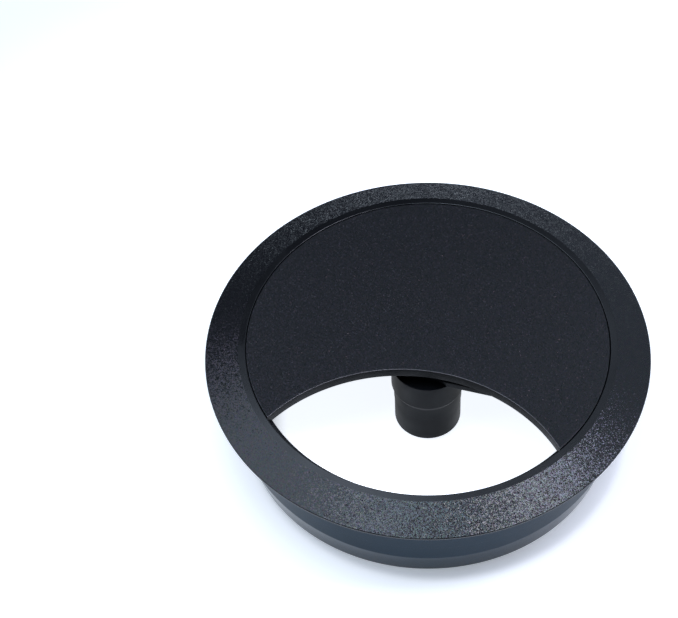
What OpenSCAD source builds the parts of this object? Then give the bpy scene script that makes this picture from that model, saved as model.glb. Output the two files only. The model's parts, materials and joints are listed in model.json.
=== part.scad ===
// Desk cable grommet for a round hole in a worktop.
// A ring drops into the hole and its flange rests on the desk. A flat cover lies in the
// ring and has a curved cable opening. A spring-loaded shutter hangs under the cover on a
// central post: it is pressed down and turned, either under the cover (open) or back
// below the opening (closed).
// Origin: on the ring's axis, in the plane of the desk top. +Z points up, out of the desk.
// The cable opening faces -Y. The model is drawn with the opening open.

/* [Ring] */
// Diameter of the hole in the desk
hole_d = 80; // [79:0.5:84]
// Clearance between the sleeve and the hole, on the radius
hole_gap = 0.25; // [0.1:0.05:0.5]
// Width of the flange beyond the edge of the hole
flange_w = 5.5; // [4.5:0.5:8]
// Height of the flange's thin outer edge
flange_edge_h = 0.4; // [0.4:0.1:1]
// Height of the rim above the desk
rim_h = 3.7; // [3.2:0.1:4]
// Width of the smooth band around the cover
band_w = 1.5; // [1:0.1:1.7]
// How far the band falls towards its outer edge
band_drop = 0.2; // [0:0.05:0.3]
// Depth of the sleeve below the desk top
sleeve_depth = 21.4; // [21:0.1:30]
// Depth of the fine step around the sleeve
step_depth = 11.4; // [6:0.1:13]
// Height of the step, measured on the radius
step_w = 0.1; // [0.05:0.05:0.2]
// Height of the lead-in taper at the sleeve's lower end
taper_h = 6.4; // [3:0.1:7]
// How far the taper draws in, on the radius
taper_in = 1.7; // [0.5:0.1:2]
// Wall thickness of the sleeve
wall = 1.6; // [1.2:0.1:1.8]

/* [Cover] */
// Diameter of the cover
cover_d = 73.8; // [72:0.1:74]
// Gap between the cover and the ring, on the radius
cover_gap = 0.25; // [0.15:0.05:0.3]
// Thickness of the cover
cover_t = 2.3; // [2:0.1:2.4]
// Width of the ledge that carries the cover
ledge_w = 1.45; // [1.2:0.05:1.5]
// Distance from the axis to the centre of the cable opening's arc
cut_offset = 42.1; // [41.5:0.1:44]
// Radius of the cable opening's arc
cut_r = 35.5; // [34.5:0.1:36.5]
// Diameter of the central post
post_d = 7; // [6.5:0.1:7.2]

/* [Shutter] */
// Angle that the shutter has turned from the closed position
open_turn = 172.5; // [165:0.5:195]
// Gap between the shutter and the cover's underside while it is open
under_gap = 0.25; // [0.2:0.05:0.3]
// Height of the lens-shaped pad above its base plate
pad_h = 1.6; // [1.4:0.1:1.8]
// Thickness of the base plate
plate_t = 1.6; // [1.4:0.1:2]
// Gap around the pad when it is closed
pad_gap = 0.25; // [0.2:0.05:0.4]
// Distance from the axis to the base plate's straight edge
chord_offset = 5.2; // [4.5:0.1:5.2]
// Outer diameter of the hub
hub_d = 13.9; // [13:0.1:14]
// Outer diameter of the collar at the top of the hub
collar_d = 15; // [14.5:0.1:16]
// Depth of the hub's lower end below the desk top
hub_depth = 19.6; // [19.2:0.1:20]

/* [Spring and fixings] */
// Wire diameter of the spring
wire_d = 0.7; // [0.5:0.1:0.8]
// Number of turns, with the two closed end turns
spring_turns = 6.5; // [5.5:0.5:7.5]
// Thread diameter of the retaining screw
screw_d = 3; // [2.5:0.1:3.2]
// Head diameter of the retaining screw
screw_head_d = 5.6; // [5:0.1:6]

/* [Hidden] */
$fn = 96;
cut = 0.5;                                  // how far a cutting tool runs past a face
running_gap = 0.05;                         // radial clearance of the shutter on the post

// Ring
sleeve_r = hole_d / 2 - hole_gap;
flange_r = hole_d / 2 + flange_w;
cover_r = cover_d / 2;
seat_r = cover_r + cover_gap;               // wall around the cover
ledge_r = seat_r - ledge_w;                 // inner edge of the ledge
ledge_z = rim_h - cover_t;                  // the cover rests here
ledge_t = 1.6;                              // thickness of the ledge at its inner edge
band_r = seat_r + band_w;                   // outer edge of the smooth band
band_z = rim_h - band_drop;                 // its height there
bore_r = sleeve_r - wall;                   // inside of the sleeve
taper_z = taper_h - sleeve_depth;           // top of the taper
rim_edge = 0.2;                             // bevel on the rim's inner edge
edge_bevel = 0.3;                           // bevel on the flange's outer edge
relief_in = sleeve_r + 1.1;                 // hollow in the flange's underside, inner edge
relief_out = flange_r - 3;                  // and its outer edge
relief_skin = 1.3;                          // flange thickness above the hollow

// Cover
cover_bevel = 0.25;                         // bevel on the cover's top edges
post_r = post_d / 2;
post_root = 1.2;                            // size of the bevel where the post meets the cover
shoulder_z = -5.2;                          // shutter's inner shoulder, which the spring lifts
post_end_z = -15;                           // lower end of the post
pilot_r = 1.25;                             // pilot hole for the screw's thread

// Shutter, in its open position
pad_r = ledge_r - 0.3;                      // passes through the ledge with a small gap
pad_top_z = ledge_z - under_gap;
plate_top_z = pad_top_z - pad_h;
plate_z = plate_top_z - plate_t;
tip_trim = 27.6;                            // half length of the pad, with its sharp tips cut off
hub_r = hub_d / 2;
collar_r = collar_d / 2;
collar_z = -8.2;                            // lower end of the collar
hub_step_z = -12.6;                         // fine step on the hub
hub_step = 0.12;                            // height of that step, on the radius
chamber_r = 5.3;                            // room for the spring

// Spring and fixings
face_gap = 0.05;                            // gap between stacked faces that slide
washer_t = 0.6;
washer_r = chamber_r - 0.35;
washer_gap = 0.3;                           // radial gap between the thrust washer and the post
washer_z = shoulder_z - face_gap - washer_t;
coil_r = 4.35;                              // radius of the wire's centre line
coil_low = post_end_z + face_gap + wire_d / 2;
coil_high = washer_z - face_gap - wire_d / 2;
coil_sides = 8;
coil_steps = 16;                            // points in one turn
closed_pitch = 1.03 * wire_d;               // rise of the closed turn at each end
retainer_t = 1.2;
retainer_gap = 0.1;                         // radial gap between the retainer and the screw
screw_head_t = 1.8;
screw_len = 9;
screw_point = 1;                            // length of the screw's pointed tip
head_dome = [[-0.7, 0], [-0.2, 0.4], [0, 1]];  // rounded head: offset from its radius, height
recess_w = 0.8;                             // width of one slot of the cross recess
recess_l = 3.2;
recess_depth = 1;

// Height of the flange's sloping face at radius r
function slope_z(r) =
    let (t = (r - band_r) / (flange_r - edge_bevel - band_r))
    band_z + t * (flange_edge_h - band_z);

// Ring: one revolved section
module ring() {
    color("#26282d") rotate_extrude() difference() {
        polygon([
            [ledge_r, ledge_z - ledge_t],
            [ledge_r, ledge_z],
            [seat_r, ledge_z],
            [seat_r, rim_h - rim_edge],
            [seat_r + rim_edge, rim_h],
            [band_r, band_z],
            [flange_r - edge_bevel, flange_edge_h],
            [flange_r, flange_edge_h - edge_bevel],
            [flange_r, 0],
            [sleeve_r, 0],
            [sleeve_r, -step_depth],
            [sleeve_r - step_w, -step_depth - step_w],
            [sleeve_r - step_w, taper_z],
            [sleeve_r - taper_in - edge_bevel, -sleeve_depth + edge_bevel],
            [sleeve_r - taper_in - 2 * edge_bevel, -sleeve_depth],
            [bore_r - taper_in, -sleeve_depth],
            [bore_r, taper_z],
            [bore_r, ledge_z - ledge_t - (bore_r - ledge_r)]
        ]);
        polygon([
            [relief_in, -cut],
            [relief_in, slope_z(relief_in) - relief_skin],
            [relief_out, slope_z(relief_out) - relief_skin],
            [relief_out, -cut]
        ]);
    }
}

// The cable opening's arc, as a disc on the opening's side. grow shrinks or widens it.
module opening_disc(grow = 0) {
    translate([0, -cut_offset]) circle(r = cut_r + grow);
}

// Bevel along the top edge of the cable opening
module opening_bevel() {
    translate([0, -cut_offset, rim_h - cover_bevel])
        cylinder(h = cover_bevel, r1 = cut_r, r2 = cut_r + cover_bevel);
}

// Cover: a disc less the cable opening, with the post that carries the shutter
module cover() {
    color("#232529") difference() {
        union() {
            difference() {
                rotate_extrude() polygon([
                    [0, ledge_z],
                    [cover_r - cover_bevel, ledge_z],
                    [cover_r, ledge_z + cover_bevel],
                    [cover_r, rim_h - cover_bevel],
                    [cover_r - cover_bevel, rim_h],
                    [0, rim_h]
                ]);
                translate([0, 0, ledge_z - cut]) linear_extrude(cover_t + 2 * cut) opening_disc();
                opening_bevel();
            }
            rotate_extrude() polygon([
                [0, post_end_z],
                [post_r - cover_bevel, post_end_z],
                [post_r, post_end_z + cover_bevel],
                [post_r, ledge_z - post_root],
                [post_r + post_root, ledge_z],
                [post_r, ledge_z + post_root / 2],
                [0, ledge_z + post_root / 2]
            ]);
        }
        translate([0, 0, post_end_z - cut]) cylinder(h = screw_len + cut, r = pilot_r);
    }
}

// Outline of the pad: where the opening's arc and the ledge's circle overlap
module pad_outline() {
    intersection() {
        circle(r = pad_r);
        opening_disc(-pad_gap);
        square([2 * tip_trim, 2 * cover_d], center = true);
    }
}

// Outline of the base plate: the pad's circle up to a straight edge beyond the axis
module plate_outline() {
    intersection() {
        circle(r = pad_r);
        translate([-cover_d, chord_offset - 2 * cover_d]) square(2 * cover_d);
    }
}

// Hub: a barrel with a collar at its top and a fine step lower down
module hub_body() {
    rotate_extrude() polygon([
        [0, -hub_depth],
        [hub_r - hub_step - cover_bevel, -hub_depth],
        [hub_r - hub_step, -hub_depth + cover_bevel],
        [hub_r - hub_step, hub_step_z - hub_step],
        [hub_r, hub_step_z],
        [hub_r, collar_z - (collar_r - hub_r)],
        [collar_r, collar_z],
        [collar_r, plate_z + cover_bevel],
        [0, plate_z + cover_bevel]
    ]);
}

// Shutter: pad, base plate and hub in one piece, turned to its open position
module shutter() {
    color("#1f2125") rotate(open_turn) difference() {
        union() {
            translate([0, 0, plate_top_z - cover_bevel])
                linear_extrude(pad_h + cover_bevel) pad_outline();
            translate([0, 0, plate_z]) linear_extrude(plate_t) plate_outline();
            hub_body();
        }
        translate([0, 0, shoulder_z - cut])
            cylinder(h = pad_top_z - shoulder_z + 2 * cut, r = post_r + running_gap);
        translate([0, 0, -hub_depth - cut])
            cylinder(h = shoulder_z + hub_depth + cut, r = chamber_r);
    }
}

// Washer between the spring and the shutter's shoulder
module thrust_washer() {
    color("ivory") translate([0, 0, washer_z]) difference() {
        cylinder(h = washer_t, r = washer_r);
        translate([0, 0, -cut]) cylinder(h = washer_t + 2 * cut, r = post_r + washer_gap);
    }
}

// Height along the spring, 0 to 1, after a turns: one closed turn lies flat at each end
function coil_rise(a) =
    let (
        flat = closed_pitch / (coil_high - coil_low),
        middle = spring_turns - 2
    )
    a < 1 ? a * flat
    : a > spring_turns - 1 ? 1 - (spring_turns - a) * flat
    : flat + (a - 1) / middle * (1 - 2 * flat);

// One point on the wire's surface: a turns along the coil, at angle b around the wire
function coil_point(a, b) =
    let (reach = coil_r + wire_d / 2 * cos(b))
    [
        reach * cos(360 * a),
        reach * sin(360 * a),
        coil_low + coil_rise(a) * (coil_high - coil_low) + wire_d / 2 * sin(b)
    ];

// Compression spring around the post
module spring() {
    rings = spring_turns * coil_steps;
    points = [for (i = [0:rings], k = [0:coil_sides - 1]) coil_point(i / coil_steps, 360 * k / coil_sides)];
    sides = [
        for (i = [0:rings - 1], k = [0:coil_sides - 1])
            let (m = (k + 1) % coil_sides, p = i * coil_sides, q = p + coil_sides)
            [p + k, p + m, q + m, q + k]
    ];
    first = [for (k = [coil_sides - 1:-1:0]) k];
    last = [for (k = [0:coil_sides - 1]) rings * coil_sides + k];
    color("silver") polyhedron(points = points, faces = concat(sides, [first], [last]));
}

// Washer under the post that carries the spring
module spring_retainer() {
    color("gainsboro") translate([0, 0, post_end_z - retainer_t]) difference() {
        cylinder(h = retainer_t, r = washer_r);
        translate([0, 0, -cut]) cylinder(h = retainer_t + 2 * cut, r = screw_d / 2 + retainer_gap);
    }
}

// Screw that holds the retainer on the post
module retaining_screw() {
    head_z = post_end_z - retainer_t;
    low_z = head_z - screw_head_t;
    color("lightgray") difference() {
        rotate_extrude() polygon(concat(
            [[0, low_z]],
            [for (d = head_dome) [screw_head_d / 2 + d.x, low_z + d.y]],
            [
                [screw_head_d / 2, head_z],
                [screw_d / 2, head_z],
                [screw_d / 2, head_z + screw_len - screw_point],
                [screw_d / 4, head_z + screw_len],
                [0, head_z + screw_len]
            ]
        ));
        for (a = [0, 90])
            rotate(a)
                translate([-recess_l / 2, -recess_w / 2, low_z - cut])
                    cube([recess_l, recess_w, recess_depth + cut]);
    }
}

ring();
cover();
shutter();
thrust_washer();
spring();
spring_retainer();
retaining_screw();
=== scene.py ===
"""Desk grommet with a press-and-turn shutter: the finished pieces around the CAD frame.

Lengths are in metres. Every piece is built about the ring's axis, in the frame's own coordinates.
"""

import json
import math

import bmesh
import bpy
from mathutils import Euler, Matrix, Vector


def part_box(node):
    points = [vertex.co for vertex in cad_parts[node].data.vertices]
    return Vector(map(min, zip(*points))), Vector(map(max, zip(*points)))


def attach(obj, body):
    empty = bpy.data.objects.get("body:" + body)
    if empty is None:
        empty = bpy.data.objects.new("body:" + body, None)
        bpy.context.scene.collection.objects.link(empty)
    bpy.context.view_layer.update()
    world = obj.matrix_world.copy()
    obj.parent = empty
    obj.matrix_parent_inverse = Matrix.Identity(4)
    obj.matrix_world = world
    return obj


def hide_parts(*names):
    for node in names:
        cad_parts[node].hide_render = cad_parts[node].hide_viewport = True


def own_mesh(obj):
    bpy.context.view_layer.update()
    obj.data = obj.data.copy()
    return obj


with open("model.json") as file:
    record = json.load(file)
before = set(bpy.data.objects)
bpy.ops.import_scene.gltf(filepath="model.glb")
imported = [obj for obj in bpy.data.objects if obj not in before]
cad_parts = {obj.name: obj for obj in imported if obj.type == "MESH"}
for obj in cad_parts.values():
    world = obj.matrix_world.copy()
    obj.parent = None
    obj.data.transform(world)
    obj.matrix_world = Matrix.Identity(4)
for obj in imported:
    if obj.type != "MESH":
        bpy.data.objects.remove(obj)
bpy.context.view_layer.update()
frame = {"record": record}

MM = 0.001

# ---------------------------------------------------------------- dimensions

ring_low, ring_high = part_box("ring")
cover_low, cover_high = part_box("cover")
shutter_low, shutter_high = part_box("shutter")
washer_low, washer_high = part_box("thrust_washer")
spring_low, spring_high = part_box("spring")
retainer_low, retainer_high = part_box("spring_retainer")
screw_low, screw_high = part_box("retaining_screw")
sleeve_mount = next(m for m in frame["record"]["mounts"] if m["name"] == "sleeve")

# Ring
FLANGE_R = ring_high.x
RIM_Z = ring_high.z
SLEEVE_END_Z = ring_low.z
SLEEVE_R = sleeve_mount["dims"]["r_mm"] * MM
STEP_Z = -11.4 * MM
STEP_W = 0.1 * MM
TAPER_Z = -sleeve_mount["dims"]["length_mm"] * MM
TAPER_IN = 1.7 * MM
WALL = 1.6 * MM
FLANGE_EDGE_H = 0.4 * MM
BAND_W = 1.5 * MM
BAND_DROP = 0.2 * MM
LEDGE_W = 1.45 * MM
LEDGE_T = 1.6 * MM
RELIEF_SKIN = 1.3 * MM

# Cover
COVER_R = cover_high.x
COVER_GAP = 0.25 * MM
SEAT_FILL = 0.14 * MM             # the real gap looks finer than the clearance between the solids
COVER_T = 2.3 * MM
COVER_UNDER_Z = RIM_Z - COVER_T
CUT_OFFSET = 42.1 * MM            # from the axis to the centre of the cable opening's arc
CUT_R = 35.5 * MM
POST_R = 3.5 * MM
POST_ROOT = 1.2 * MM
POST_END_Z = cover_low.z
PILOT_R = 1.25 * MM
PILOT_DEPTH = screw_high.z - POST_END_Z

SEAT_R = COVER_R + COVER_GAP
LEDGE_R = SEAT_R - LEDGE_W

# Shutter, drawn closed and then turned to its open position
OPEN_TURN = math.radians(172.5)
PAD_GAP = 0.25 * MM
PAD_H = 1.6 * MM
PLATE_T = 1.6 * MM
PLATE_R = LEDGE_R - 0.3 * MM
PAD_R = PLATE_R - 0.15 * MM
PAD_TOP_Z = shutter_high.z
PLATE_TOP_Z = PAD_TOP_Z - PAD_H
PLATE_Z = PLATE_TOP_Z - PLATE_T
TIP_TRIM = 27.6 * MM
CHORD_OFFSET = 5.2 * MM
HUB_R = 6.95 * MM
HUB_STEP = 0.1 * MM
HUB_STEP_Z = -12.6 * MM
HUB_END_Z = shutter_low.z
COLLAR_R = 7.5 * MM
COLLAR_Z = -8.2 * MM
CHAMBER_R = 5.3 * MM
SHOULDER_Z = -5.2 * MM
BORE_R = POST_R + 0.05 * MM

# Spring and fixings
WIRE_R = 0.35 * MM
COIL_R = spring_high.x - WIRE_R
COIL_TURNS = 6.5
SCREW_R = 1.5 * MM
SCREW_ROOT_R = 1.15 * MM
SCREW_PITCH = 1.1 * MM
SCREW_HEAD_T = 1.8 * MM
RECESS_DEPTH = 1.05 * MM

# How finely round shapes are divided
RING_SIDES = 288
HUB_SIDES = 144
BORE_SIDES = 96                   # post, bores and washers
SCREW_SIDES = 72
WIRE_SIDES = 18
COVER_ARC_STEPS = 210
PLATE_ARC_STEPS = 180
CUT_ARC_STEPS = 96
COIL_STEPS = 56                   # in one turn
THREAD_STEPS = 36                 # in one turn
ROUNDING_STEPS = 6
HOLD = 0.12 * MM                  # extra edge loop beside a rounded edge, which keeps the flats flat

LONGEST_TRIM = 0.46               # share of an edge that the rounding at one end may take
SMOOTH_ANGLE = math.radians(32)   # sharper edges than this keep a crease
WELD = 1e-8                       # points closer than this are one point

# ---------------------------------------------------------------- materials

COAL = (0.0036, 0.0038, 0.0046)
# Lighter grey of the opening's top edge: wear, and also a painted highlight where the edge catches the
# light.
WORN_EDGE_HIGHLIGHT_COLOUR = (0.07, 0.062, 0.064)
# Navy base colour of the sleeve and bore: painted reflection of bluish surroundings on black plastic.
NAVY_PAINTED_REFLECTION = (0.002, 0.012, 0.024)
WHITE = (1, 1, 1, 1)
MIDDLE_OF_NOISE = (0.35, 0.65)    # where most of a noise texture's values lie


def new_material(name):
    """An empty node material with its shader, and a function that adds nodes to it."""
    material = bpy.data.materials.new(name)
    material.use_nodes = True
    nodes, links = material.node_tree.nodes, material.node_tree.links
    nodes.clear()
    output = nodes.new("ShaderNodeOutputMaterial")
    shader = nodes.new("ShaderNodeBsdfPrincipled")
    links.new(shader.outputs["BSDF"], output.inputs["Surface"])

    def add(kind, inputs=(), **settings):
        node = nodes.new(kind)
        for key, value in settings.items():
            setattr(node, key, value)
        for socket, value in dict(inputs).items():
            if isinstance(value, bpy.types.NodeSocket):
                links.new(value, node.inputs[socket])
            else:
                node.inputs[socket].default_value = value
        return node

    return material, shader, add, links


def tint(colour, factor):
    """The colour made lighter or darker, with the alpha that a socket wants."""
    return tuple(c * factor for c in colour) + (1,)


def between(add, value, start, end, low, high, **settings):
    """A socket that goes from low to high as value goes from start to end."""
    mapped = add("ShaderNodeMapRange", {"Value": value, "From Min": start, "From Max": end,
                                        "To Min": low, "To Max": high}, **settings)
    return mapped.outputs["Result"]


def grained_plastic(name, grain, tilt, depth, roughness, glint, ior=1.5):
    """Moulded black plastic from a spark-eroded tool: small facets at random tilts over low grains.

    tilt is how far a facet leans (0.3 is about 10 degrees at most), and glint is how much more
    the odd one leans."""
    odd_share = 0.12
    hue_share = 0.3                   # how far a facet's glint may stray from white
    gloss_range = 0.05
    material, shader, add, links = new_material(name)
    place = add("ShaderNodeTexCoord").outputs["Object"]
    grains = add("ShaderNodeTexNoise",
                 {"Vector": place, "Scale": 1 / grain, "Detail": 2, "Roughness": 0.7})
    bump = add("ShaderNodeBump",
               {"Height": grains.outputs["Fac"], "Strength": 1.0, "Distance": depth})

    # Each cell of the crater pattern leans its own way, and the odd one leans further
    facets = add("ShaderNodeTexVoronoi", {"Vector": place, "Scale": 1 / grain}, feature="F1")
    lean = add("ShaderNodeVectorMath", {0: facets.outputs["Color"], 1: (0.5, 0.5, 0.5)},
               operation="SUBTRACT")
    chance = add("ShaderNodeTexWhiteNoise", {"Vector": facets.outputs["Position"]},
                 noise_dimensions="3D")
    odd = add("ShaderNodeMath", {0: chance.outputs["Value"], 1: 1 - odd_share},
              operation="GREATER_THAN")
    reach = add("ShaderNodeMath", {0: odd.outputs[0], 1: glint, 2: tilt}, operation="MULTIPLY_ADD")
    leaning = add("ShaderNodeVectorMath", {0: lean.outputs[0], "Scale": reach.outputs[0]},
                  operation="SCALE")
    facing = add("ShaderNodeVectorMath", {0: bump.outputs["Normal"], 1: leaning.outputs[0]},
                 operation="ADD")
    normal = add("ShaderNodeVectorMath", {0: facing.outputs[0]}, operation="NORMALIZE")
    links.new(normal.outputs[0], shader.inputs["Normal"])

    # Every facet glints in a colour of its own, most of them nearly white
    hue = add("ShaderNodeMix", {"Factor": hue_share, "A": WHITE, "B": facets.outputs["Color"]},
              data_type="RGBA")
    links.new(hue.outputs["Result"], shader.inputs["Specular Tint"])

    # Gloss varies from grain to grain, and the tone drifts a little over the moulding
    gloss = between(add, grains.outputs["Fac"], *MIDDLE_OF_NOISE,
                    roughness + gloss_range, roughness - gloss_range)
    links.new(gloss, shader.inputs["Roughness"])
    cloud = add("ShaderNodeTexNoise", {"Vector": place, "Scale": 70, "Detail": 3})
    tone = add("ShaderNodeMix", {"Factor": cloud.outputs["Fac"], "A": tint(COAL, 0.8),
                                 "B": tint(COAL, 1.2)}, data_type="RGBA")
    speck = add("ShaderNodeMix", {"Factor": grains.outputs["Fac"], "A": tone.outputs["Result"],
                                  "B": tint(COAL, 2.2)}, data_type="RGBA")
    links.new(speck.outputs["Result"], shader.inputs["Base Color"])
    shader.inputs["IOR"].default_value = ior
    return material


def smooth_plastic(name, roughness, ior=1.5, colour=COAL, reflection_tint=(1, 1, 1)):
    """Polished moulded plastic: slow waviness in the surface and a trace of tool marks."""
    material, shader, add, links = new_material(name)
    place = add("ShaderNodeTexCoord").outputs["Object"]
    wave = add("ShaderNodeTexNoise", {"Vector": place, "Scale": 120, "Detail": 2})
    marks = add("ShaderNodeTexNoise", {"Vector": place, "Scale": 1800, "Detail": 2})
    height = add("ShaderNodeMath", {0: marks.outputs["Fac"], 1: 0.06, 2: wave.outputs["Fac"]},
                 operation="MULTIPLY_ADD")
    bump = add("ShaderNodeBump", {"Height": height.outputs[0], "Strength": 1.0, "Distance": 0.03 * MM})
    links.new(bump.outputs["Normal"], shader.inputs["Normal"])
    haze = between(add, wave.outputs["Fac"], *MIDDLE_OF_NOISE, roughness * 0.85, roughness * 1.2)
    links.new(haze, shader.inputs["Roughness"])
    tone = add("ShaderNodeMix", {"Factor": wave.outputs["Fac"], "A": tint(colour, 0.85),
                                 "B": tint(colour, 1.2)}, data_type="RGBA")
    links.new(tone.outputs["Result"], shader.inputs["Base Color"])
    shader.inputs["IOR"].default_value = ior
    shader.inputs["Specular Tint"].default_value = (*reflection_tint, 1)
    return material


def nylon(name):
    """Natural nylon: milky, a little translucent."""
    material, shader, add, links = new_material(name)
    place = add("ShaderNodeTexCoord").outputs["Object"]
    cloud = add("ShaderNodeTexNoise", {"Vector": place, "Scale": 500, "Detail": 3})
    tone = add("ShaderNodeMix", {"Factor": cloud.outputs["Fac"], "A": (0.62, 0.59, 0.51, 1),
                                 "B": (0.78, 0.76, 0.7, 1)}, data_type="RGBA")
    links.new(tone.outputs["Result"], shader.inputs["Base Color"])
    bump = add("ShaderNodeBump",
               {"Height": cloud.outputs["Fac"], "Strength": 0.6, "Distance": 0.02 * MM})
    links.new(bump.outputs["Normal"], shader.inputs["Normal"])
    shader.inputs["Roughness"].default_value = 0.42
    shader.inputs["Subsurface Weight"].default_value = 0.15
    shader.inputs["Subsurface Scale"].default_value = 0.5 * MM
    return material


def steel(name, colour, roughness, grain):
    """Bare or zinc-plated steel with fine drawing or rolling marks."""
    material, shader, add, links = new_material(name)
    place = add("ShaderNodeTexCoord").outputs["Object"]
    marks = add("ShaderNodeTexNoise",
                {"Vector": place, "Scale": 1 / grain, "Detail": 4, "Roughness": 0.7})
    tone = add("ShaderNodeMix", {"Factor": marks.outputs["Fac"], "A": tint(colour, 0.78),
                                 "B": tint(colour, 1.12)}, data_type="RGBA")
    links.new(tone.outputs["Result"], shader.inputs["Base Color"])
    gloss = between(add, marks.outputs["Fac"], 0.3, 0.7, roughness * 0.7, roughness * 1.3)
    links.new(gloss, shader.inputs["Roughness"])
    bump = add("ShaderNodeBump",
               {"Height": marks.outputs["Fac"], "Strength": 0.5, "Distance": 0.01 * MM})
    links.new(bump.outputs["Normal"], shader.inputs["Normal"])
    shader.inputs["Metallic"].default_value = 1
    return material


COARSE = grained_plastic("coarse_grain_plastic", grain=0.19 * MM, tilt=0.24, depth=0.008 * MM,
                         roughness=0.26, glint=0.12)
FINE = grained_plastic("fine_grain_plastic", grain=0.16 * MM, tilt=0.14, depth=0.004 * MM,
                       roughness=0.32, glint=0.3, ior=1.46)
SATIN = smooth_plastic("satin_plastic", roughness=0.24)
# Worn edge with a painted highlight: a lighter, rougher copy of the plastic.
WORN_EDGE_HIGHLIGHT = smooth_plastic("worn_and_highlit_edge_plastic", roughness=0.4, colour=WORN_EDGE_HIGHLIGHT_COLOUR)
# The glossy plastic's navy colour and blue reflection tint are painted reflection of bluish
# surroundings.
GLOSSY = smooth_plastic("glossy_plastic", roughness=0.17, ior=1.3, colour=NAVY_PAINTED_REFLECTION,
                        reflection_tint=(0.5, 0.78, 1))
# A darker plastic that reflects little: painted shade on the hub, the faces under the cover and
# shutter, the opening's cut wall, the seat's wall and the sleeve's foot, with a bluish painted
# reflection tint.
DULL_PAINTED_SHADE = smooth_plastic("dull_painted_shade_plastic", roughness=0.45, ior=1.17, colour=tint(COAL, 0.45)[:3],
                      reflection_tint=(0.8, 0.9, 1))
NYLON = nylon("nylon")
WIRE = steel("spring_wire", (0.42, 0.42, 0.43), roughness=0.3, grain=0.15 * MM)
ZINC = steel("zinc_plate", (0.58, 0.59, 0.62), roughness=0.34, grain=0.3 * MM)

# ---------------------------------------------------------------- mesh tools


def rounded(corners):
    """Outline through the corners of a closed section, each corner rounded to its own radius.

    A corner is (r, z, radius, finish), and finish belongs to the edge that leaves it.
    Returns the points and the finish of the edge that leaves each point."""
    points, finishes = [], []
    for i, (r, z, radius, finish) in enumerate(corners):
        here = Vector((r, z))
        back = Vector(corners[i - 1][:2]) - here
        ahead = Vector(corners[(i + 1) % len(corners)][:2]) - here
        if radius == 0:
            points.append(here)
            finishes.append(finish)
            continue
        inner = back.angle(ahead)
        longest = LONGEST_TRIM * min(back.length, ahead.length)
        trim = min(radius / math.tan(inner / 2), longest)
        radius = trim * math.tan(inner / 2)
        back.normalize()
        ahead.normalize()
        centre = here + (back + ahead).normalized() * radius / math.sin(inner / 2)
        start = here + back * trim - centre
        sweep = start.angle_signed(here + ahead * trim - centre)
        came_with = corners[i - 1][3]
        points.append(here + back * (trim + HOLD / 2))
        finishes.append(came_with)
        for k in range(ROUNDING_STEPS + 1):
            points.append(centre + Matrix.Rotation(-sweep * k / ROUNDING_STEPS, 2) @ start)
            finishes.append(finish if k >= ROUNDING_STEPS / 2 else came_with)
        points.append(here + ahead * (trim + HOLD / 2))
        finishes.append(finish)
    return points, finishes


def lathe(bm, corners, materials, around=RING_SIDES):
    """Revolves a closed section about Z. Points on the axis become one vertex."""
    points, finishes = rounded(corners)
    loops = []
    for point in points:
        if point.x < WELD:
            loops.append([bm.verts.new((0, 0, point.y))])
            continue
        loops.append([
            bm.verts.new((point.x * math.cos(a), point.x * math.sin(a), point.y))
            for a in (2 * math.pi * k / around for k in range(around))
        ])
    for i, finish in enumerate(finishes):
        one, two = loops[i], loops[(i + 1) % len(loops)]
        if len(one) == 1 and len(two) == 1:
            continue
        for k in range(around):
            m = (k + 1) % around
            corner = [one[k % len(one)], one[m % len(one)], two[m % len(two)], two[k % len(two)]]
            face = bm.faces.new(list(dict.fromkeys(corner)))
            face.material_index = materials.index(finish)


def edge_levels(low, high, edge_low, edge_high):
    """(inset, height) from the bottom face to the top face of a slab with rounded edges."""
    quarter = [math.pi / 2 * k / ROUNDING_STEPS for k in range(ROUNDING_STEPS + 1)]
    levels = [(edge_low + HOLD, low)]
    levels += [(edge_low * (1 - math.sin(a)), low + edge_low * (1 - math.cos(a))) for a in quarter]
    levels += [(edge_high * (1 - math.cos(a)), high - edge_high * (1 - math.sin(a))) for a in quarter]
    levels += [(edge_high + HOLD, high)]
    return levels


def slab(bm, outline, levels, side, top, materials):
    """Stacks one outline at several insets and heights and closes both ends.

    outline(inset) gives the same number of points for every inset, anticlockwise."""
    loops = [[bm.verts.new((x, y, z)) for x, y in outline(inset)] for inset, z in levels]
    count = len(loops[0])
    top_from = len(levels) - 2 - ROUNDING_STEPS // 2
    for i in range(len(loops) - 1):
        finish = top if i >= top_from else side
        for k in range(count):
            m = (k + 1) % count
            face = bm.faces.new((loops[i][k], loops[i][m], loops[i + 1][m], loops[i + 1][k]))
            face.material_index = materials.index(finish)
    bm.faces.new(loops[0][::-1]).material_index = materials.index(side)
    bm.faces.new(loops[-1]).material_index = materials.index(top)


def skin(bm, loops):
    """Joins each loop of points to the next one and closes both ends."""
    for one, two in zip(loops, loops[1:]):
        for k in range(len(one)):
            m = (k + 1) % len(one)
            bm.faces.new((one[k], one[m], two[m], two[k]))
    bm.faces.new(loops[0][::-1])
    bm.faces.new(loops[-1])


def settle_shading(mesh):
    """Smooth shading with creases, also again after a piece was cut or joined."""
    mesh.shade_smooth()
    mesh.set_sharp_from_angle(angle=SMOOTH_ANGLE)


def finished(name, bm, materials):
    """Turns a bmesh into an object with outward faces, its materials and smooth shading."""
    bmesh.ops.remove_doubles(bm, verts=bm.verts, dist=WELD)
    bmesh.ops.dissolve_degenerate(bm, edges=bm.edges, dist=WELD)
    bmesh.ops.recalc_face_normals(bm, faces=bm.faces)
    mesh = bpy.data.meshes.new(name)
    bm.to_mesh(mesh)
    bm.free()
    for material in materials:
        mesh.materials.append(material)
    settle_shading(mesh)
    piece = bpy.data.objects.new(name, mesh)
    bpy.context.scene.collection.objects.link(piece)
    return piece


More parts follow.
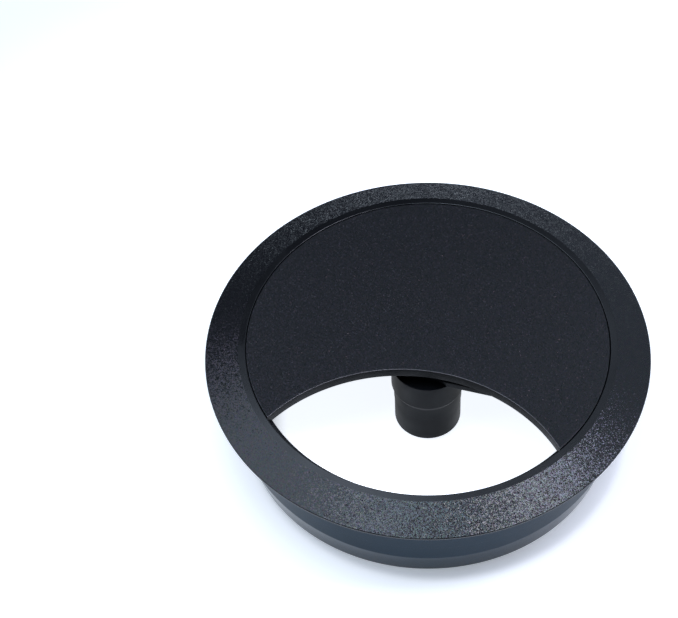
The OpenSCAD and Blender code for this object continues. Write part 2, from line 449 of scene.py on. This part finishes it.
def solid(name, build, materials):
    """An object made by one function that fills a bmesh."""
    bm = bmesh.new()
    build(bm)
    return finished(name, bm, materials)


def combine(target, tool, operation):
    """Joins another solid to a piece, or cuts it away, and removes the tool."""
    modifier = target.modifiers.new(operation.lower(), "BOOLEAN")
    modifier.operation = operation
    modifier.solver = "EXACT"
    modifier.object = tool
    modifier.material_mode = "INDEX"
    bpy.context.view_layer.objects.active = target
    bpy.ops.object.modifier_apply(modifier=modifier.name)
    bpy.data.objects.remove(tool)


def paint_edge_wear_and_highlight(piece, radius, top_z, finishes):
    """Gives the rounded top edge along the cable opening's arc a lighter finish: wear, and also a
    painted highlight on the faces that look up towards the lights.
    """
    near = 0.3 * MM
    for face in piece.data.polygons:
        reach = math.hypot(face.center.x, face.center.y + CUT_OFFSET)
        on_edge = abs(reach - radius) < near and face.center.z > top_z - near
        # Only the upward-facing part of the rounding gets the painted highlight.
        if on_edge and 0.5 < face.normal.z < 0.99:
            face.material_index = finishes.index(WORN_EDGE_HIGHLIGHT)


def place(piece, body, node, slot):
    """The piece moves with the body and stands for the CAD node."""
    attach(piece, body)
    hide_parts(node)


def arc(centre_y, radius, start, end, steps):
    """Points on a circle about (0, centre_y), both ends included. Angles in radians."""
    angles = [start + (end - start) * k / steps for k in range(steps + 1)]
    return [(radius * math.cos(a), centre_y + radius * math.sin(a)) for a in angles]


# ---------------------------------------------------------------- ring


def slope_z(r):
    """Height of the flange's sloping face at radius r."""
    band_r, band_z = SEAT_R + BAND_W, RIM_Z - BAND_DROP
    return band_z + (r - band_r) / (FLANGE_R - band_r) * (FLANGE_EDGE_H - band_z)


def ring():
    bore_r = SLEEVE_R - WALL
    lower_r = SLEEVE_R - STEP_W
    tip_r = SLEEVE_R - TAPER_IN - STEP_W
    relief_in, relief_out = SLEEVE_R + 1.1 * MM, FLANGE_R - 3 * MM
    # The seat's wall and the sleeve's foot take the dull plastic: painted shade in the gap and at the
    # floor.
    corners = [
        (LEDGE_R, COVER_UNDER_Z - LEDGE_T, 0.15 * MM, SATIN),
        (LEDGE_R, COVER_UNDER_Z, 0.15 * MM, SATIN),
        (SEAT_R, COVER_UNDER_Z, 0.1 * MM, DULL_PAINTED_SHADE),
        (SEAT_R, RIM_Z, 0.15 * MM, SATIN),
        (SEAT_R + BAND_W, RIM_Z - BAND_DROP, 0.2 * MM, COARSE),
        (FLANGE_R, FLANGE_EDGE_H, 0.25 * MM, SATIN),
        (FLANGE_R, 0, 0.1 * MM, SATIN),
        (relief_out, 0, 0.1 * MM, SATIN),
        (relief_out, slope_z(relief_out) - RELIEF_SKIN, 0.1 * MM, SATIN),
        (relief_in, slope_z(relief_in) - RELIEF_SKIN, 0.2 * MM, SATIN),
        (relief_in, 0, 0.1 * MM, SATIN),
        (SLEEVE_R, 0, 0.1 * MM, GLOSSY),
        (SLEEVE_R, STEP_Z, 0.03 * MM, GLOSSY),
        (lower_r, STEP_Z - STEP_W, 0.05 * MM, GLOSSY),
        (lower_r, TAPER_Z, 1.5 * MM, GLOSSY),
        (tip_r, SLEEVE_END_Z, 0.3 * MM, DULL_PAINTED_SHADE),
        (bore_r - TAPER_IN, SLEEVE_END_Z, 0.3 * MM, GLOSSY),
        (bore_r, TAPER_Z, 1.5 * MM, GLOSSY),
        (bore_r, COVER_UNDER_Z - LEDGE_T - (bore_r - LEDGE_R), 0.4 * MM, GLOSSY),
    ]
    finishes = [SATIN, COARSE, GLOSSY, DULL_PAINTED_SHADE]
    piece = solid("ring_shell", lambda bm: lathe(bm, corners, finishes), finishes)
    place(piece, "ring", "ring", "ring_plastic")


# ---------------------------------------------------------------- cover


def cover_outline(inset):
    """Disc less the cable opening: the outer arc anticlockwise, then the opening's arc back."""
    outer, cut = COVER_R + SEAT_FILL - inset, CUT_R + inset
    half = math.acos((outer**2 + CUT_OFFSET**2 - cut**2) / (2 * outer * CUT_OFFSET))
    cut_half = math.acos((cut**2 + CUT_OFFSET**2 - outer**2) / (2 * cut * CUT_OFFSET))
    rim = arc(0, outer, half - math.pi / 2, 1.5 * math.pi - half, COVER_ARC_STEPS)
    opening = arc(-CUT_OFFSET, cut, math.pi / 2 + cut_half, math.pi / 2 - cut_half, CUT_ARC_STEPS)
    return rim + opening[1:-1]


def cover():
    finishes = [SATIN, FINE, DULL_PAINTED_SHADE, WORN_EDGE_HIGHLIGHT]
    levels = edge_levels(COVER_UNDER_Z, RIM_Z, 0.2 * MM, 0.18 * MM)
    # The opening's cut wall, the sides and the underside take the dull plastic: painted shade.
    plate = solid("cover_plate", lambda bm: slab(bm, cover_outline, levels, DULL_PAINTED_SHADE, FINE, finishes),
                  finishes)
    paint_edge_wear_and_highlight(plate, CUT_R, RIM_Z, finishes)
    core_z = COVER_UNDER_Z + COVER_T / 2
    root_r = POST_R + 2 * POST_ROOT
    corners = [
        (0, POST_END_Z + PILOT_DEPTH, 0, SATIN),
        (PILOT_R, POST_END_Z + PILOT_DEPTH - PILOT_R / 2, 0.1 * MM, SATIN),
        (PILOT_R, POST_END_Z, 0.15 * MM, SATIN),
        (POST_R, POST_END_Z, 0.25 * MM, SATIN),
        (POST_R, COVER_UNDER_Z, POST_ROOT, SATIN),
        (root_r, COVER_UNDER_Z - 0.01 * MM, 0, SATIN),
        (root_r, core_z, 0, SATIN),
        (0, core_z, 0, SATIN),
    ]
    post = solid("post", lambda bm: lathe(bm, corners, finishes, BORE_SIDES), finishes)
    combine(plate, post, "UNION")
    settle_shading(plate.data)
    place(plate, "cover", "cover", "cover_plastic")


# ---------------------------------------------------------------- shutter


def pad_outline(inset):
    """Lens with its sharp tips cut off: the outer arc, then the arc along the opening's edge."""
    outer, inner, trim = PAD_R - inset, CUT_R - PAD_GAP - inset, TIP_TRIM - inset
    a, b = math.acos(trim / outer), math.acos(trim / inner)
    front = arc(0, outer, a - math.pi, -a, CUT_ARC_STEPS)
    return front + arc(-CUT_OFFSET, inner, b, math.pi - b, CUT_ARC_STEPS)


def plate_outline(inset):
    """Disc cut off by a straight edge beyond the axis."""
    outer = PLATE_R - inset
    a = math.asin((CHORD_OFFSET - inset) / outer)
    return arc(0, outer, -math.pi - a, a, PLATE_ARC_STEPS)


def shutter():
    finishes = [SATIN, FINE, DULL_PAINTED_SHADE, WORN_EDGE_HIGHLIGHT]
    plate_levels = edge_levels(PLATE_Z, PLATE_TOP_Z, 0.2 * MM, 0.2 * MM)
    pad_levels = edge_levels(PLATE_TOP_Z - 0.6 * MM, PAD_TOP_Z, 0.1 * MM, 0.25 * MM)
    lower_r = HUB_R - HUB_STEP
    draft = 0.05 * MM                 # how much each part of the hub narrows downwards
    collar_top_z = PLATE_Z + 0.3 * MM
    lead_in = 1.3 * MM                # funnel at the chamber's mouth
    # The hub, and the plate's sides and underside, take the dull plastic: painted shade below the
    # cover.
    hub_corners = [
        (0, HUB_END_Z, 0, DULL_PAINTED_SHADE),
        (lower_r - draft, HUB_END_Z, 0.3 * MM, DULL_PAINTED_SHADE),
        (lower_r, HUB_STEP_Z - HUB_STEP, 0.04 * MM, DULL_PAINTED_SHADE),
        (HUB_R, HUB_STEP_Z, 0.06 * MM, DULL_PAINTED_SHADE),
        (HUB_R + draft, COLLAR_Z - 2 * (COLLAR_R - HUB_R), 0.4 * MM, DULL_PAINTED_SHADE),
        (COLLAR_R, COLLAR_Z, 0.6 * MM, DULL_PAINTED_SHADE),
        (COLLAR_R, collar_top_z, 0.1 * MM, DULL_PAINTED_SHADE),
        (0, collar_top_z, 0, DULL_PAINTED_SHADE),
    ]
    bore_corners = [
        (0, HUB_END_Z - MM, 0, SATIN),
        (CHAMBER_R + lead_in, HUB_END_Z - MM, 0, SATIN),
        (CHAMBER_R, HUB_END_Z + 0.3 * MM, 0.2 * MM, SATIN),
        (CHAMBER_R, SHOULDER_Z, 0.3 * MM, SATIN),
        (BORE_R, SHOULDER_Z, 0.15 * MM, SATIN),
        (BORE_R, PLATE_TOP_Z, 0.2 * MM, SATIN),
        (BORE_R + 0.8 * MM, PLATE_TOP_Z + 0.6 * MM, 0, SATIN),
        (0, PLATE_TOP_Z + 0.6 * MM, 0, SATIN),
    ]
    flap = solid("shutter_flap",
                 lambda bm: slab(bm, plate_outline, plate_levels, DULL_PAINTED_SHADE, SATIN, finishes), finishes)
    pad = solid("pad", lambda bm: slab(bm, pad_outline, pad_levels, SATIN, FINE, finishes), finishes)
    paint_edge_wear_and_highlight(pad, CUT_R - PAD_GAP, PAD_TOP_Z, finishes)
    hub = solid("hub", lambda bm: lathe(bm, hub_corners, finishes, HUB_SIDES), finishes)
    bore = solid("bore", lambda bm: lathe(bm, bore_corners, finishes, BORE_SIDES), finishes)
    combine(flap, pad, "UNION")
    combine(flap, hub, "UNION")
    combine(flap, bore, "DIFFERENCE")
    flap.data.transform(Matrix.Rotation(OPEN_TURN, 4, "Z"))
    settle_shading(flap.data)
    place(flap, "shutter", "shutter", "shutter_plastic")


# ---------------------------------------------------------------- spring and fixings


def thrust_washer():
    inner, outer = POST_R + 0.3 * MM, washer_high.x
    corners = [(r, z, 0.12 * MM, NYLON) for r, z in (
        (inner, washer_low.z), (outer, washer_low.z), (outer, washer_high.z), (inner, washer_high.z))]
    piece = solid("nylon_washer", lambda bm: lathe(bm, corners, [NYLON], BORE_SIDES), [NYLON])
    place(piece, "thrust_washer", "thrust_washer", "washer_nylon")


def coil_height(turns):
    """Height of the wire's centre line after some turns. One closed turn lies flat at each end."""
    low, high = spring_low.z + WIRE_R, spring_high.z - WIRE_R
    flat = 2.06 * WIRE_R
    if turns < 1:
        return low + turns * flat
    if turns > COIL_TURNS - 1:
        return high - (COIL_TURNS - turns) * flat
    return low + flat + (turns - 1) / (COIL_TURNS - 2) * (high - low - 2 * flat)


def swept(bm, centres, radius, sides):
    """A round tube along the centres of a coil about Z."""
    loops = []
    for centre in centres:
        outward = Vector((centre.x, centre.y, 0)).normalized()
        loops.append([
            bm.verts.new(centre + radius * (outward * math.cos(b) + Vector((0, 0, math.sin(b)))))
            for b in (2 * math.pi * k / sides for k in range(sides))
        ])
    skin(bm, loops)


def spring():
    path = []
    for i in range(int(COIL_TURNS * COIL_STEPS) + 1):
        turns = i / COIL_STEPS
        angle = 2 * math.pi * turns
        path.append(Vector((COIL_R * math.cos(angle), COIL_R * math.sin(angle), coil_height(turns))))
    piece = solid("coil_spring", lambda bm: swept(bm, path, WIRE_R, WIRE_SIDES), [WIRE])
    place(piece, "spring", "spring", "spring_steel")
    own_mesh(piece)


def spring_retainer():
    inner, outer = SCREW_R + 0.1 * MM, retainer_high.x
    corners = [
        (inner, retainer_low.z, 0.1 * MM, ZINC),
        (outer, retainer_low.z, 0.3 * MM, ZINC),
        (outer, retainer_high.z, 0.12 * MM, ZINC),
        (inner, retainer_high.z, 0.1 * MM, ZINC),
    ]
    piece = solid("retainer_washer", lambda bm: lathe(bm, corners, [ZINC], BORE_SIDES), [ZINC])
    place(piece, "cover", "spring_retainer", "plated_steel")


def recess_blade(bm, head_z, turn):
    """One blade of the cross recess. It narrows towards its tip, which points up into the head."""
    spin = Matrix.Rotation(turn, 3, "Z")
    mouth = (head_z - 0.2 * MM, 1.7 * MM, 0.42 * MM)
    tip = (head_z + RECESS_DEPTH, 0.75 * MM, 0.26 * MM)
    loops = []
    for z, length, width in (mouth, tip):
        loops.append([
            bm.verts.new(spin @ Vector((sx * length, sy * width, z)))
            for sx, sy in ((-1, -1), (1, -1), (1, 1), (-1, 1))
        ])
    skin(bm, loops)


def thread(bm, low, high):
    """A V-shaped ridge that winds up the shank, fading out at both ends."""
    foot = SCREW_ROOT_R - 0.08 * MM   # sunk a little into the shank
    foot_half, crest_half = 0.3 * MM, 0.04 * MM
    total = int((high - low) / SCREW_PITCH * THREAD_STEPS)
    loops = []
    for i in range(total + 1):
        angle = 2 * math.pi * i / THREAD_STEPS
        z = low + SCREW_PITCH * i / THREAD_STEPS
        grown = min(1, i / THREAD_STEPS, (total - i) / THREAD_STEPS)
        crest = SCREW_ROOT_R + (SCREW_R - SCREW_ROOT_R) * grown
        section = ((foot, -foot_half), (crest, -crest_half), (crest, crest_half), (foot, foot_half))
        loops.append([
            bm.verts.new((r * math.cos(angle), r * math.sin(angle), z + dz)) for r, dz in section
        ])
    skin(bm, loops)


def retaining_screw():
    head_r = screw_high.x
    seat_z = screw_low.z + SCREW_HEAD_T
    corners = [
        (0, screw_low.z, 0, ZINC),
        (head_r, screw_low.z, 1.1 * MM, ZINC),
        (head_r, seat_z, 0.1 * MM, ZINC),
        (SCREW_ROOT_R, seat_z, 0.1 * MM, ZINC),
        (SCREW_ROOT_R, screw_high.z - MM, 0.2 * MM, ZINC),
        (0.25 * MM, screw_high.z, 0.1 * MM, ZINC),
        (0, screw_high.z, 0, ZINC),
    ]
    piece = solid("cross_screw", lambda bm: lathe(bm, corners, [ZINC], SCREW_SIDES), [ZINC])
    thread_low, thread_high = seat_z + 0.4 * MM, screw_high.z - 0.6 * MM
    ridge = solid("ridge", lambda bm: thread(bm, thread_low, thread_high), [ZINC])
    combine(piece, ridge, "UNION")
    for turn in (0, math.pi / 2):
        blade = solid("blade", lambda bm: recess_blade(bm, screw_low.z, turn), [ZINC])
        combine(piece, blade, "DIFFERENCE")
    settle_shading(piece.data)
    place(piece, "cover", "retaining_screw", "plated_steel")


# ---------------------------------------------------------------- stage, lights and camera

COOL = (0.7, 0.82, 1.0)           # colour of most of the lights


def floor():
    """A plain pale sheet that the sleeve stands on. Its glow is painted light, not a lamp: a pool
    around the object, brighter below the opening, with a painted shadow to the front right. Far away
    its tone falls off to grey."""
    pale_from, pale_to = 0.14, 0.34           # where its tone falls off to grey, a painted falloff of light
    glow_from, glow_to = 0.09, 0.15           # where its painted glow ends
    painted_pool_from, painted_pool_to = 0.036, 0.041       # edge of the painted pool of light below the opening
    painted_shadow_from, painted_shadow_to = 0.038, 0.0405      # soft edge of the painted shadow
    glow_outside_painted_shadow, glow_in_painted_shadow, painted_pool_glow = 0.55, 0.27, 0.73
    material, shader, add, links = new_material("pale_floor_painted_light")
    where = add("ShaderNodeTexCoord").outputs["Object"]
    far = add("ShaderNodeVectorMath", {0: where}, operation="LENGTH").outputs["Value"]

    def fades(start, end):
        return between(add, far, start, end, 1.0, 0.0, interpolation_type="SMOOTHSTEP")

    # The tone is pale near the object and grey far away: a painted falloff of light, with a faint
    # random cloud in the grey.
    cloud = add("ShaderNodeTexNoise", {"Vector": where, "Scale": 3, "Detail": 2})
    grey = add("ShaderNodeMix", {"Factor": cloud.outputs["Fac"], "A": (0.42, 0.42, 0.43, 1),
                                 "B": (0.46, 0.46, 0.47, 1)}, data_type="RGBA")
    tone = add("ShaderNodeMix", {"Factor": fades(pale_from, pale_to), "A": grey.outputs["Result"],
                                 "B": (0.9, 0.9, 0.9, 1)}, data_type="RGBA")
    links.new(tone.outputs["Result"], shader.inputs["Base Color"])
    shader.inputs["Roughness"].default_value = 0.6
    shader.inputs["Emission Color"].default_value = (0.9, 0.94, 1, 1)

    # The glow is weak in a painted shadow of the object, a disc at a fixed place a little to the front
    # right
    from_painted_shadow = add("ShaderNodeVectorMath", {0: where, 1: (2 * MM, -MM, ring_low.z)},
                     operation="DISTANCE").outputs["Value"]
    glow_with_painted_shadow = between(add, from_painted_shadow, painted_shadow_from, painted_shadow_to, glow_in_painted_shadow, glow_outside_painted_shadow,
                  interpolation_type="SMOOTHSTEP")
    around = add("ShaderNodeMath", {0: fades(glow_from, glow_to), 1: glow_with_painted_shadow}, operation="MULTIPLY")
    # A painted pool of light adds glow below the opening.
    glow = add("ShaderNodeMath", {0: fades(painted_pool_from, painted_pool_to), 1: painted_pool_glow,
                                  2: around.outputs[0]}, operation="MULTIPLY_ADD")
    links.new(glow.outputs[0], shader.inputs["Emission Strength"])

    bm = bmesh.new()
    bmesh.ops.create_grid(bm, x_segments=8, y_segments=8, size=4)
    sheet = finished("floor", bm, [material])
    sheet.data.transform(Matrix.Translation((0, 0, ring_low.z)))


def aimed(thing, location, target):
    """Puts a light or the camera at a place and points it at the target."""
    thing.location = location
    thing.rotation_euler = (Vector(target) - Vector(location)).to_track_quat("-Z", "Y").to_euler()
    bpy.context.scene.collection.objects.link(thing)


def softbox(name, azimuth, tilt, size, radiance, colour=COOL, distance=0.9):
    """A soft light that points at the object. size is its width and length.

    tilt is its angle from straight overhead, towards the azimuth (0 is +Y, 90 is +X)."""
    data = bpy.data.lights.new(name, "AREA")
    data.shape = "RECTANGLE"
    data.size, data.size_y = size
    data.energy = radiance * math.pi * size[0] * size[1]
    data.color = colour
    a, t = math.radians(azimuth), math.radians(tilt)
    outward = Vector((math.sin(a) * math.sin(t), math.cos(a) * math.sin(t), math.cos(t)))
    aimed(bpy.data.objects.new(name, data), distance * outward, (0, 0, 0))


def lights():
    softbox("left_softbox", azimuth=-94, tilt=31, size=(0.95, 0.95), radiance=2.5)
    softbox("right_softbox", azimuth=89, tilt=25, size=(0.3, 0.3), radiance=15, colour=(0.8, 0.82, 1))
    softbox("front_softbox", azimuth=-159, tilt=13, size=(0.3, 0.3), radiance=6.4)
    softbox("top_softbox", azimuth=0, tilt=9.5, size=(0.5, 0.7), radiance=0.5)
    softbox("fill_panel", azimuth=17, tilt=40, size=(0.06, 0.06), radiance=1, distance=0.26)


def room():
    """The room's own light, dimmer on the left, where other things stand close by."""
    left, right = -0.2, 0.6           # how far across the sky the change goes, from -1 to 1
    dim, bright = 0.02, 0.58
    world = bpy.data.worlds.new("studio")
    world.use_nodes = True
    nodes, links = world.node_tree.nodes, world.node_tree.links
    direction = nodes.new("ShaderNodeTexCoord")
    across = nodes.new("ShaderNodeSeparateXYZ")
    links.new(direction.outputs["Generated"], across.inputs["Vector"])
    level = nodes.new("ShaderNodeMapRange")
    level.inputs["From Min"].default_value = left
    level.inputs["From Max"].default_value = right
    level.inputs["To Min"].default_value = dim
    level.inputs["To Max"].default_value = bright
    links.new(across.outputs["X"], level.inputs["Value"])
    sky = nodes["Background"]
    sky.inputs["Color"].default_value = (0.68, 0.82, 1.0, 1)
    links.new(level.outputs["Result"], sky.inputs["Strength"])
    bpy.context.scene.world = world
    bpy.context.scene.view_settings.view_transform = "Standard"


def camera():
    """A long lens at the reference view's angle. The object stands right of the picture's middle,
    and below it."""
    azimuth, elevation, distance = math.radians(7.5), math.radians(53.1), 0.8
    view_width = 0.1385               # width of the picture at the object
    aside, below = 0.01812, 0.00956   # how far the object's origin lies from the middle of the picture
    data = bpy.data.cameras.new("camera")
    data.sensor_width = 36
    data.lens = data.sensor_width * distance / view_width
    data.clip_start, data.clip_end = 0.05, 20
    level = math.cos(elevation)
    toward = Vector((math.sin(azimuth) * level, -math.cos(azimuth) * level, math.sin(elevation)))
    thing = bpy.data.objects.new("camera", data)
    aimed(thing, toward * distance, (0, 0, 0))
    swing = Euler((math.atan(below / distance), math.atan(aside / distance), 0)).to_quaternion()
    thing.rotation_mode = "QUATERNION"
    thing.rotation_quaternion = (-toward).to_track_quat("-Z", "Y") @ swing
    bpy.context.scene.camera = thing


ring()
cover()
shutter()
thrust_washer()
spring()
spring_retainer()
retaining_screw()
floor()
lights()
room()
camera()
